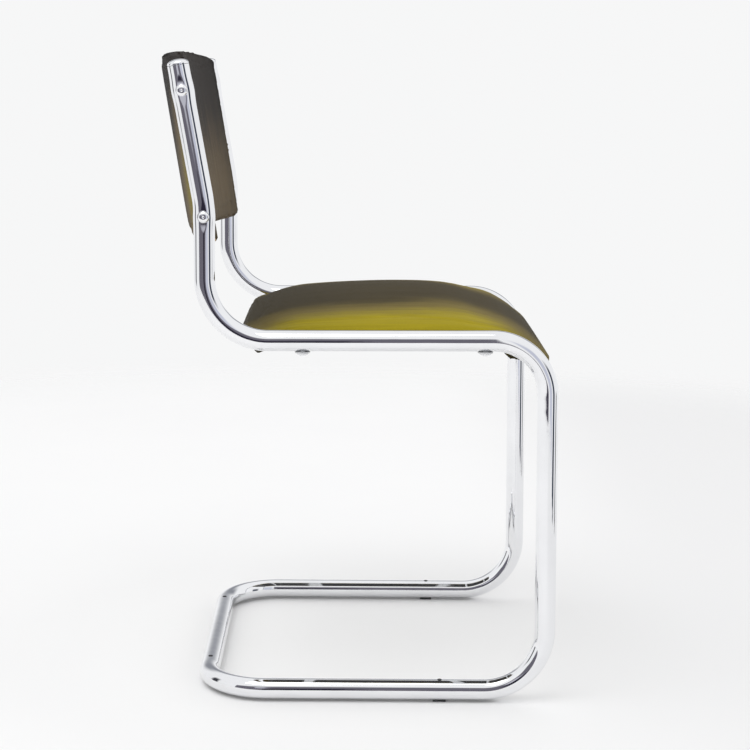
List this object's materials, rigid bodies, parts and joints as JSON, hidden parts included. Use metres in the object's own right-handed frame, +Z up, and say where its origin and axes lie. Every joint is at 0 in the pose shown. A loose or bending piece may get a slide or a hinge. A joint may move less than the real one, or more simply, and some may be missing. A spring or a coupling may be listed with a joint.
{
  "type": "cantilever side chair",
  "caption": "Cantilever side chair: bent chromed tube frame that rests on a floor loop, crowned upholstered seat with a rolled front, curved upholstered backrest between the posts.",
  "frame": {"origin": "middle of the chair's footprint, on the floor", "axes": "+X towards the chair's front, +Y towards its left side, +Z up"},
  "size_m": [0.4883, 0.46, 0.7783],
  "materials": {
    "chrome": "polished chrome plate",
    "zinc": "zinc-plated steel",
    "black_plastic": "moulded black nylon",
    "plywood": "raw moulded plywood",
    "upholstery": "fine ribbed cloth that turns from olive yellow at the sides to dark brown on top",
    "lining": "thin black non-woven lining"
  },
  "bodies": {
    "root": {"right_frame_tube": "chrome", "right_post_cap": "chrome", "right_rail_glide": "black_plastic", "right_rear_glide": "black_plastic", "left_frame_tube": "chrome", "left_post_cap": "chrome", "left_rail_glide": "black_plastic", "left_rear_glide": "black_plastic", "crossbar_sleeve": "zinc", "seat_board": "plywood", "seat_pad": "upholstery", "seat_underside_cover": "lining", "rear_seat_strap": "zinc", "right_rear_strap_screw": "chrome", "right_rear_rivet_nut": "zinc", "right_rear_board_screw": "zinc", "left_rear_strap_screw": "chrome", "left_rear_rivet_nut": "zinc", "left_rear_board_screw": "zinc", "front_seat_strap": "zinc", "right_front_strap_screw": "chrome", "right_front_rivet_nut": "zinc", "right_front_board_screw": "zinc", "left_front_strap_screw": "chrome", "left_front_rivet_nut": "zinc", "left_front_board_screw": "zinc", "backrest_board": "plywood", "backrest_front_pad": "upholstery", "backrest_rear_pad": "upholstery", "right_upper_backrest_screw": "chrome", "right_upper_insert": "zinc", "right_lower_backrest_screw": "chrome", "right_lower_insert": "zinc", "left_upper_backrest_screw": "chrome", "left_upper_insert": "zinc", "left_lower_backrest_screw": "chrome", "left_lower_insert": "zinc"}
  },
  "joints": []
}
